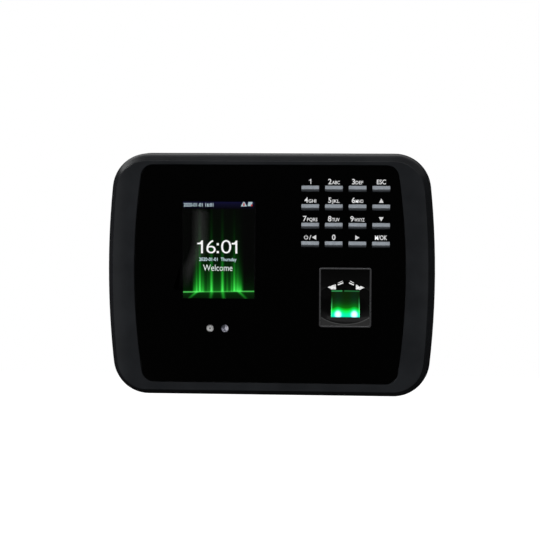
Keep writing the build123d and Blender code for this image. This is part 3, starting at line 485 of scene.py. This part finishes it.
def platen_finish():
    """The finger window: green light that grows towards its foot, with a white spot over each lamp, and
    painted highlights on its side and top edges.
    """
    made = Finish("lit_prism", (0.0, 0.004, 0.001), 0.08, Specular_IOR_Level=0.15)
    x = made.along("X", SENSOR.x, MM)
    height = made.along("Z", PLATEN_LOW.z, MM)
    tall = (PLATEN_HIGH.z - PLATEN_LOW.z) / MM
    lobes = made.math("ADD", *[made.bell(x, place, LOBE_HALF) for place in LAMP_SPOTS])
    lifted = made.math("DIVIDE", made.math("MULTIPLY_ADD", lobes, -LOBE_RISE, height), tall)
    green = made.ramp(lifted, PLATEN_GREEN)
    blue = made.math("MULTIPLY", made.ramp(lifted, PLATEN_BLUE), made.math("MULTIPLY_ADD", lobes, 1.6, 1.0))
    up = made.math("DIVIDE", made.math("SUBTRACT", height, SPOT_RISE), SPOT_HALF_HEIGHT)
    white = 0.0
    for place in LAMP_SPOTS:
        across = made.math("DIVIDE", made.math("SUBTRACT", x, place), SPOT_HALF_WIDTH)
        square = made.math("ADD", made.math("POWER", across, 2.0), made.math("POWER", up, 2.0))
        flat_topped = made.math("MULTIPLY", made.math("POWER", square, 2.0), -1.0)
        white = made.math("ADD", made.math("EXPONENT", flat_topped), white)
    # Painted highlight: the polished side and top edges are given their own light where they would catch the
    # light.
    half = made.math("MULTIPLY_ADD", height, -0.04, 8.75)
    side = made.math("GREATER_THAN", made.math("ABSOLUTE", x), made.math("SUBTRACT", half, EDGE_HIGHLIGHT_WIDTH))
    side = made.math("MULTIPLY", side, made.ramp(made.math("DIVIDE", height, tall), PLATEN_EDGE_HIGHLIGHT))
    left = made.math("MULTIPLY", made.math("LESS_THAN", x, BRINK_GAP[0]), 0.24)
    right = made.math("MULTIPLY", made.math("GREATER_THAN", x, BRINK_GAP[1]), 0.1)
    top = made.math("GREATER_THAN", height, tall - BRINK_HIGHLIGHT)
    edge = made.math("ADD", side, made.math("MULTIPLY", top, made.math("ADD", left, right)))
    mix = made.node("ShaderNodeCombineColor")
    red = made.math("MULTIPLY_ADD", edge, 0.12, made.math("MULTIPLY_ADD", white, 0.95, 0.004))
    made.link(red, mix.inputs[0])
    made.link(made.math("ADD", edge, made.math("ADD", green, white)), mix.inputs[1])
    made.link(made.math("MULTIPLY_ADD", edge, 0.3, made.math("ADD", blue, white)), mix.inputs[2])
    made.light(mix.outputs[0], 1.0)
    made.bump(made.noise(2 * MM), 0.004 * MM)
    dress(made.material, "sensor_prism")


def guide_glints():
    """Painted highlights on the finger guide, as glowing patches: a fan on each side of the fingertip hollow
    and slits above it.
    """
    data = NODES["sensor_bezel"].data
    surface = BVHTree.FromPolygons([v.co for v in data.vertices], [p.vertices for p in data.polygons])
    mesh = bmesh.new()
    for corners in GLINT_PATCHES:
        a, b, c, d = [Vector(corner) * MM for corner in corners]
        rows = []
        for i in range(GLINT_STEPS + 1):
            start, end = a.lerp(b, i / GLINT_STEPS), d.lerp(c, i / GLINT_STEPS)
            row = []
            for j in range(GLINT_STEPS + 1):
                flat = start.lerp(end, j / GLINT_STEPS)
                origin = Vector((SENSOR.x + flat.x, IN_FRONT, SENSOR.z + flat.y))
                hit = surface.ray_cast(origin, Vector((0, 1, 0)))[0]
                row.append(mesh.verts.new(hit - Vector((0, GLINT_LIFT, 0))))
            rows.append(row)
        add_grid(mesh, rows)
    face_user(mesh)
    glint_finish = Finish("painted_guide_glints", (0.8, 0.8, 0.8), 0.5)
    cloud = glint_finish.noise(1.1 * MM, 2.0)
    # The patches give their own light: painted highlights, not lamps.
    glint_finish.light(glint_finish.ramp(cloud, [(0.32, 0.3), (0.55, 0.85)]), 0.9)
    glint_finish.bump(cloud, 0.005 * MM)
    piece("guide_glints", mesh, glint_finish.material)


# ---------------------------------------------------------------- the cameras
def lens_finish():
    """Two coated lenses with painted reflections, in their colour and as their own light: the left one pale,
    with a swirl round its pupil, and the right one bluish.
    """
    made = Finish("coated_lens", (0.3, 0.32, 0.36), 0.08, Coat_Weight=1.0)
    side = made.along("X", LENS_CENTRE.x)
    off = made.math("SUBTRACT", made.math("ABSOLUTE", side), LENS_APART / 2)
    rise = made.along("Z", LENS_CENTRE.z)
    square = made.math("ADD", made.math("POWER", off, 2.0), made.math("POWER", rise, 2.0))
    radius = made.math("DIVIDE", made.math("SQRT", square), LENS_DIAMETER / 2)
    # Painted reflections: the left lens's pale swirl round its pupil, darker towards its top, and the right
    # lens's bluish highlight at its right.
    swirl = made.math("MULTIPLY_ADD", made.noise(1.6 * MM, 2.0), 0.7, made.math("SUBTRACT", radius, 0.35))
    pale = made.ramp(swirl, [(0.0, 0.14), (0.2, 0.2), (0.42, 0.5), (0.75, 0.42), (1.0, 0.1)])
    level = made.math("DIVIDE", rise, LENS_DIAMETER)
    pale = made.math("MULTIPLY", pale, made.math("MULTIPLY_ADD", level, -0.7, 0.95))
    glint = made.math("MULTIPLY_ADD", made.noise(1.3 * MM, 1.0), 1.9, made.math("DIVIDE", off, LENS_DIAMETER))
    glint = made.math("SUBTRACT", made.math("MULTIPLY_ADD", level, -0.3, glint), 0.42)
    blues = [(0.2, (0.02, 0.022, 0.03)), (0.5, (0.09, 0.09, 0.12)), (0.75, (0.36, 0.36, 0.42))]
    blues += [(1.0, (0.5, 0.5, 0.55))]
    colour = made.blend(made.math("GREATER_THAN", side, 0.0), pale, made.ramp(glint, blues))
    made.drive("Base Color", colour)
    # The lenses give their painted reflections out as their own light; they are no lamps.
    made.light(colour, 0.75)
    made.roughness(made.noise(1 * MM), 0.05, 0.2)
    dress(made.material, "camera_lenses")


# ---------------------------------------------------------------- lettering
def text_mesh(words, weight=0.0):
    """A flat mesh of a line of text, at size 1."""
    curve = bpy.data.curves.new("lettering", "FONT")
    curve.body = words
    curve.offset = weight
    curve.resolution_u = 4
    holder = bpy.data.objects.new("lettering", curve)
    bpy.context.scene.collection.objects.link(holder)
    bpy.context.view_layer.update()
    data = bpy.data.meshes.new_from_object(holder.evaluated_get(bpy.context.evaluated_depsgraph_get()))
    bpy.data.objects.remove(holder)
    return data


def extent(data):
    """Lowest and highest x, and highest y, of a flat mesh."""
    xs = [v.co.x for v in data.vertices]
    return min(xs), max(xs), max(v.co.y for v in data.vertices)


CAPITAL = extent(text_mesh("H"))[2]


def add_text(mesh, words, height, x, z, y, weight=0.0, width=None, anchor=0.5):
    """Adds text to a bmesh, with its baseline at z and capitals that are height tall."""
    data = text_mesh(words, weight)
    low, high, _ = extent(data)
    tall = height / CAPITAL
    wide = width / (high - low) if width else tall
    left = x - (high - low) * wide * anchor
    data.transform(Matrix(((wide, 0, 0, left - low * wide), (0, 0, 0, y), (0, tall, 0, z), (0, 0, 0, 1))))
    mesh.from_mesh(data)


# ---------------------------------------------------------------- the key legends
def above_key(name):
    """Where a key's legend starts: its centre and baseline."""
    centre = middle("key_" + name)
    return centre.x, centre.z + LEGEND_RISE


def arrow(mesh, x, z, turn, y):
    """A solid triangle that points along turn degrees."""
    a = radians(turn)
    turned = [(u * cos(a) - v * sin(a), u * sin(a) + v * cos(a)) for u, v in ARROW]
    outline(mesh, x, z, turned, y)


def power_symbol(mesh, x, z, y):
    """The usual broken ring with a bar at its top."""
    inner, outer, start, end, steps = 0.85 * MM, 1.25 * MM, 125, 415, 24
    rows = []
    for step in range(steps + 1):
        a = radians(start + (end - start) * step / steps)
        rows.append([mesh.verts.new((x + r * cos(a), y, z + r * sin(a))) for r in (inner, outer)])
    add_grid(mesh, rows)
    outline(mesh, x, z, POWER_BAR, y)


def legends():
    """White legends printed above the keys: telephone letters, arrows and command names."""
    mesh = bmesh.new()
    y = GLASS_FACE - PRINT_LIFT
    x, z = above_key("1")
    outline(mesh, x + 0.5 * MM, z, ONE, y, DIGIT_TALL)
    letters = {"2": "ABC", "3": "DEF", "4": "GHI", "5": "JKL", "6": "MNO"}
    letters |= {"7": "PQRS", "8": "TUV", "9": "WXYZ", "0": ""}
    for digit, small in letters.items():
        x, z = above_key(digit)
        low, high, _ = extent(text_mesh(digit, BOLD))
        digit_width = (high - low) * DIGIT_TALL / CAPITAL
        small_width = LETTER_WIDE * len(small)
        left = x - (digit_width + small_width) / 2
        add_text(mesh, digit, DIGIT_TALL, left, z, y, BOLD, anchor=0.0)
        if small:
            start, width = left + digit_width + LETTER_GAP, small_width - 0.3 * MM
            add_text(mesh, small, LETTER_TALL, start, z, y, BOLD, width, 0.0)
    for name, words, width in (("esc", "ESC", 5.4 * MM), ("menu", "M/OK", 7.2 * MM)):
        x, z = above_key(name)
        add_text(mesh, words, COMMAND_TALL, x, z + 0.1 * MM, y, BOLD, width)
    for name, turn in (("up", 90), ("down", -90), ("right", 0)):
        x, z = above_key(name)
        arrow(mesh, x, z + SYMBOL_RISE, turn, y)
    x, z = above_key("power")
    power_symbol(mesh, x - 2.45 * MM, z + SYMBOL_RISE, y)
    outline(mesh, x, z, SLASH, y)
    arrow(mesh, x + 2.3 * MM, z + SYMBOL_RISE, 180, y)
    face_user(mesh)
    ink = Finish("legend_ink", (0.86, 0.87, 0.88), 0.45)
    speckle = ink.noise(0.15 * MM, 3.0)
    # The ink also gives off a little light of its own.
    ink.light(ink.ramp(speckle, [(0.3, 0.9), (0.7, 1.0)]), 0.45)
    ink.bump(speckle, 0.004 * MM)
    piece("key_legends", mesh, ink.material)


# ---------------------------------------------------------------- the picture on the display
def picture_finish():
    """A dark picture with upright green beams that stand on a bright line, and a status bar at its top."""
    made = Finish("display_picture", (0.0, 0.0, 0.0), 0.5, Specular_IOR_Level=0.0)
    x = made.along("X", DISPLAY_X, MM)
    z = made.along("Z", DISPLAY_FOOT, MM)
    rise = made.math("MULTIPLY_ADD", x, -HORIZON_TILT, made.math("SUBTRACT", z, HORIZON))
    above = made.math("MAXIMUM", rise, 0.0)
    below = made.math("MAXIMUM", made.math("MULTIPLY", rise, -1.0), 0.0)
    low_haze = made.math("MULTIPLY", made.fall(above, 4.0), 0.1)
    haze = made.math("ADD", low_haze, made.math("MULTIPLY", made.fall(above, 15.0), 0.02))
    inside = made.math("SUBTRACT", HAZE_SIDE, made.math("ABSOLUTE", x))
    haze = made.math("MULTIPLY", haze, made.math("DIVIDE", inside, 3.0, clamp=True))
    beams = made.math("MULTIPLY_ADD", made.fall(above, 4.0), 0.015, haze)
    for place, half, bright, length in BEAMS:
        glow = made.math("MULTIPLY", made.bell(x, place, half), made.fall(above, length))
        beams = made.math("MULTIPLY_ADD", glow, BEAM_GAIN * bright, beams)
    beams = made.math("MULTIPLY", beams, made.math("GREATER_THAN", rise, 0.0))
    ground = made.math("MULTIPLY_ADD", made.fall(below, 2.0), 0.035, 0.005)
    for place, lean, half, bright, length in SPILLS:
        off = made.math("SUBTRACT", x, made.math("MULTIPLY_ADD", below, lean, place))
        glow = made.math("MULTIPLY", made.bell(off, 0.0, half), made.fall(below, length))
        ground = made.math("MULTIPLY_ADD", glow, bright, ground)
    ground = made.math("MULTIPLY", ground, made.math("LESS_THAN", rise, 0.0))
    strength = made.ramp(made.math("MULTIPLY_ADD", x, 0.02, 0.5), LINE_STRENGTH)
    line = made.math("MULTIPLY", made.bell(rise, 0.0, LINE_HALF), strength)
    total = made.math("ADD", made.math("ADD", beams, ground), line, clamp=True)
    top = made.math("SUBTRACT", DISPLAY_HEIGHT / MM, z)
    bar = made.ramp(made.math("DIVIDE", top, STATUS_BAR), BAR_BLUES)
    colour = made.blend(made.math("LESS_THAN", top, STATUS_BAR), made.ramp(total, GREENS), bar)
    whiter = made.blend(made.math("MULTIPLY", line, 0.09), colour, (1.0, 0.4, 1.0), "ADD")
    made.light(whiter, 1.0)
    made.bump(made.noise(PIXEL, 1.0), 0.002 * MM)
    return made.material


def picture():
    """The lit area of the display, just in front of the cell."""
    mesh = bmesh.new()
    y = PANEL_FACE - PICTURE_LIFT
    columns, lines = 36, 48
    rows = []
    for line in range(lines + 1):
        z = DISPLAY_FOOT + DISPLAY_HEIGHT * line / lines
        row = [mesh.verts.new((DISPLAY_LEFT + DISPLAY_WIDTH * c / columns, y, z)) for c in range(columns + 1)]
        rows.append(row)
    add_grid(mesh, rows)
    face_user(mesh)
    piece("display_picture", mesh, picture_finish())


def picture_words():
    """The clock, two lines with the date, and a greeting, as lit letters."""
    y = PANEL_FACE - WORDS_LIFT
    clock = bmesh.new()
    foot = 13.45 * MM
    dot = [(-1.15, 0.1), (0.15, 0.1), (0.15, 1.45), (-1.15, 1.45)]
    for right in (-9.4, 11.2):
        outline(clock, DISPLAY_X + right * MM, foot, ONE, y, 7.7 * MM)
    for digit, x, width in (("6", -4.55, 5.6), ("0", 4.55, 6.1)):
        add_text(clock, digit, 8.0 * MM, DISPLAY_X + x * MM, foot, y, -0.008, width * MM)
    for low in (0.0, 4.7):
        outline(clock, DISPLAY_X, foot + low * MM, dot, y)
    face_user(clock)
    piece("display_clock", clock, glowing("pixels_white", (1.0, 1.0, 1.0), 1.0))
    dates = bmesh.new()
    x = DISPLAY_X - 0.5 * MM
    add_text(dates, "2020-01-01  Thursday", 2.0 * MM, x, 8.9 * MM, y, 0.006, 22.4 * MM)
    left = DISPLAY_LEFT + 0.4 * MM
    add_text(dates, "2020-01-01 16:01", 2.1 * MM, left, 41.35 * MM, y, 0.0, 17.8 * MM, 0.0)
    face_user(dates)
    piece("display_dates", dates, glowing("pixels_pale_blue", (0.62, 0.78, 0.86), 1.15))
    greeting = bmesh.new()
    add_text(greeting, "Welcome", 3.7 * MM, x, 3.0 * MM, y, -0.004, 17.6 * MM)
    face_user(greeting)
    soft = glowing("pixels_soft_white", (0.85, 0.93, 0.9), 1.05)
    piece("display_greeting", greeting, soft)


def status_icons():
    """A warning triangle and a card with red marks on them, at the right of the status bar."""
    pale = bmesh.new()
    y = PANEL_FACE - ICONS_LIFT
    sign = (DISPLAY_RIGHT - 6.2 * MM, 41.6 * MM)
    outline(pale, *sign, [(-1.85, 0.0), (1.85, 0.0), (0.0, 3.3)], y)
    card = [(-1.5, 0.0), (1.1, 0.0), (1.5, 2.9), (-0.9, 3.1)]
    outline(pale, DISPLAY_RIGHT - 2.5 * MM, 41.8 * MM, card, y)
    face_user(pale)
    piece("display_icons", pale, glowing("pixels_icon", (0.55, 0.72, 0.78), 0.8))
    red = bmesh.new()
    y = PANEL_FACE - MARKS_LIFT
    outline(red, *sign, [(-0.55, 0.35), (0.55, 0.35), (0.2, 2.2), (-0.2, 2.2)], y)
    sides = 16
    turns = [2 * pi * side / sides for side in range(sides)]
    circle = [(cos(a), sin(a)) for a in turns]
    outline(red, DISPLAY_RIGHT - 1.55 * MM, 42.3 * MM, circle, y, 0.55 * MM)
    face_user(red)
    piece("display_marks", red, glowing("pixels_red", (0.6, 0.03, 0.03), 0.9))


# ---------------------------------------------------------------- the studio
def world_light():
    """Light from all round: a ring in front, a band over the case, dim elsewhere; white to the eye."""
    world = bpy.data.worlds.new("studio")
    bpy.context.scene.world = world
    world.use_nodes = True
    world.node_tree.nodes.clear()
    sky = Nodes(world.node_tree)
    towards = sky.node("ShaderNodeSeparateXYZ")
    sky.link(sky.node("ShaderNodeTexCoord").outputs["Generated"], towards.inputs[0])
    height = sky.math("ADD", sky.math("MULTIPLY", towards.outputs["Z"], 0.5), 0.5)
    across = sky.math("ADD", sky.math("MULTIPLY", towards.outputs["X"], 0.5), 0.5)
    front = sky.math("MULTIPLY", towards.outputs["Y"], -1.0, clamp=True)

    def shade(value, stops):
        return sky.ramp(value, stops, "EASE")

    ring = shade(front, [(0.0, 0.03), (0.52, 0.05), (0.64, 0.48), (0.86, 0.46), (0.95, 0.06), (1.0, 0.04)])
    tilt = shade(height, [(0.0, 0.25), (0.35, 0.3), (0.55, 0.6), (0.75, 1.0), (1.0, 1.0)])
    band = [(0.0, 0.0), (0.62, 0.0), (0.69, 0.9), (0.77, 0.5), (0.86, 0.07), (0.92, 0.01), (1.0, 0.01)]
    leftwards = shade(across, [(0.0, 0.8), (0.47, 0.8), (0.56, 0.35), (0.75, 0.1), (1.0, 0.05)])
    above = sky.math("MULTIPLY", shade(height, band), leftwards)
    back = shade(front, [(0.0, 1.0), (0.12, 0.5), (0.3, 0.0), (1.0, 0.0)])
    strength = sky.math("ADD", sky.math("MULTIPLY", ring, tilt), sky.math("MULTIPLY", above, back))
    seen = sky.node("ShaderNodeMix", data_type="FLOAT")
    sky.link(sky.node("ShaderNodeLightPath").outputs["Is Camera Ray"], seen.inputs["Factor"])
    sky.link(strength, seen.inputs["A"])
    seen.inputs["B"].default_value = 1.0
    background = sky.node("ShaderNodeBackground")
    background.inputs["Color"].default_value = (1, 1, 1, 1)
    sky.link(seen.outputs["Result"], background.inputs["Strength"])
    sky.link(background.outputs[0], sky.node("ShaderNodeOutputWorld").inputs[0])


def stage_piece(name, mesh, material, hidden_from):
    """Turns a bmesh into a piece of the studio that some kinds of ray don't see."""
    data = bpy.data.meshes.new(name)
    mesh.to_mesh(data)
    mesh.free()
    data.materials.append(material)
    made = bpy.data.objects.new(name, data)
    bpy.context.scene.collection.objects.link(made)
    for ray in hidden_from:
        setattr(made, "visible_" + ray, False)


def floor():
    """A pale floor well below the terminal, which hangs on a wall."""
    mesh = bmesh.new()
    half, low = 8.0, -1.2
    corners = [(-1, -1), (1, -1), (1, 1), (-1, 1)]
    mesh.faces.new([mesh.verts.new((x * half, y * half, low)) for x, y in corners])
    paint = Finish("floor_white", (0.9, 0.9, 0.9), 0.9, Emission_Strength=1.0)
    paint.colours(paint.noise(0.3, 2.0), (0.88, 0.88, 0.88), (0.92, 0.92, 0.92))
    paint.set("Emission Color", (1.0, 1.0, 1.0, 1.0))
    stage_piece("floor", mesh, paint.material, ("diffuse", "glossy", "transmission", "shadow"))


def lamp(name, place, aim, size, power):
    """A rectangular soft light that looks at a point."""
    light = bpy.data.lights.new(name, "AREA")
    light.shape = "RECTANGLE"
    light.size, light.size_y = size
    light.energy = power
    made = bpy.data.objects.new(name, light)
    made.location = place
    made.rotation_euler = (Vector(aim) - Vector(place)).to_track_quat("-Z", "Y").to_euler()
    bpy.context.scene.collection.objects.link(made)


def strip_card():
    """A dim glowing card behind the viewer, bent at its foot, that shows as a faint streak in the window."""
    path = [(-0.2327, -0.042), (-0.2327, -0.05), (-0.2332, -0.096), (-0.238, -0.112), (-0.249, -0.1316)]
    path += [(-0.259, -0.165)]
    fade_along = (0.0, 0.8, 1.0, 1.0, 0.7, 0.0)
    fade_across = (0.0, 0.45, 1.0, 0.45, 0.0)
    half_width, distance = 0.015, -1.68
    mesh = bmesh.new()
    shades = mesh.loops.layers.float_color.new("glow")
    rows = []
    level = {}
    for (x, z), along in zip(path, fade_along):
        row = []
        for side, across in zip((-1, -0.5, 0, 0.5, 1), fade_across):
            corner = mesh.verts.new((x + side * half_width, distance, z))
            level[corner] = across * along
            row.append(corner)
        rows.append(row)
    add_grid(mesh, rows)
    for face in mesh.faces:
        for loop in face.loops:
            value = level[loop.vert]
            loop[shades] = (value, value, value, 1)
    material = bpy.data.materials.new("strip_glow")
    material.use_nodes = True
    material.node_tree.nodes.clear()
    nodes = Nodes(material.node_tree)
    light = nodes.node("ShaderNodeEmission")
    nodes.link(nodes.node("ShaderNodeVertexColor", layer_name="glow").outputs["Color"], light.inputs["Color"])
    light.inputs["Strength"].default_value = 0.3
    nodes.link(light.outputs[0], nodes.node("ShaderNodeOutputMaterial").inputs[0])
    stage_piece("strip_card", mesh, material, ("camera",))


def lights():
    """Soft boxes above, at the left and behind."""
    lamp("top_softbox", (-0.3, -1.3, 0.95), (0, -0.03, 0), (1.8, 0.4), 2.3)
    lamp("left_softbox", (-1.0, -1.2, 0.75), (0, -0.03, 0), (0.3, 0.3), 2.3)
    lamp("back_softbox", (0, 1.6, 0), (0, 0, 0), (0.16, 0.1), 6.0)


def camera():
    """The viewer's place: slightly to the right and above."""
    azimuth, elevation, roll = radians(4.5), radians(4.8), radians(0.1)
    distance, lens, sensor = 1.1, 123.2, 36.0
    target = Vector((0.45 * MM, -40.0 * MM, 3.9 * MM))
    data = bpy.data.cameras.new("camera")
    data.lens, data.sensor_width = lens, sensor
    made = bpy.data.objects.new("camera", data)
    back = Vector((sin(azimuth) * cos(elevation), -cos(azimuth) * cos(elevation), sin(elevation)))
    made.location = target + back * distance
    made.rotation_mode = "QUATERNION"
    turn = Matrix.Rotation(roll, 4, "Z").to_quaternion()
    made.rotation_quaternion = (-back).to_track_quat("-Z", "Y") @ turn
    bpy.context.scene.collection.objects.link(made)
    bpy.context.scene.camera = made


case_finishes()
window_finishes()
key_finish()
guide_finish()
platen_finish()
guide_glints()
lens_finish()
legends()
picture()
picture_words()
status_icons()
world_light()
floor()
lights()
strip_card()
camera()
bpy.context.scene.view_settings.view_transform = "Standard"
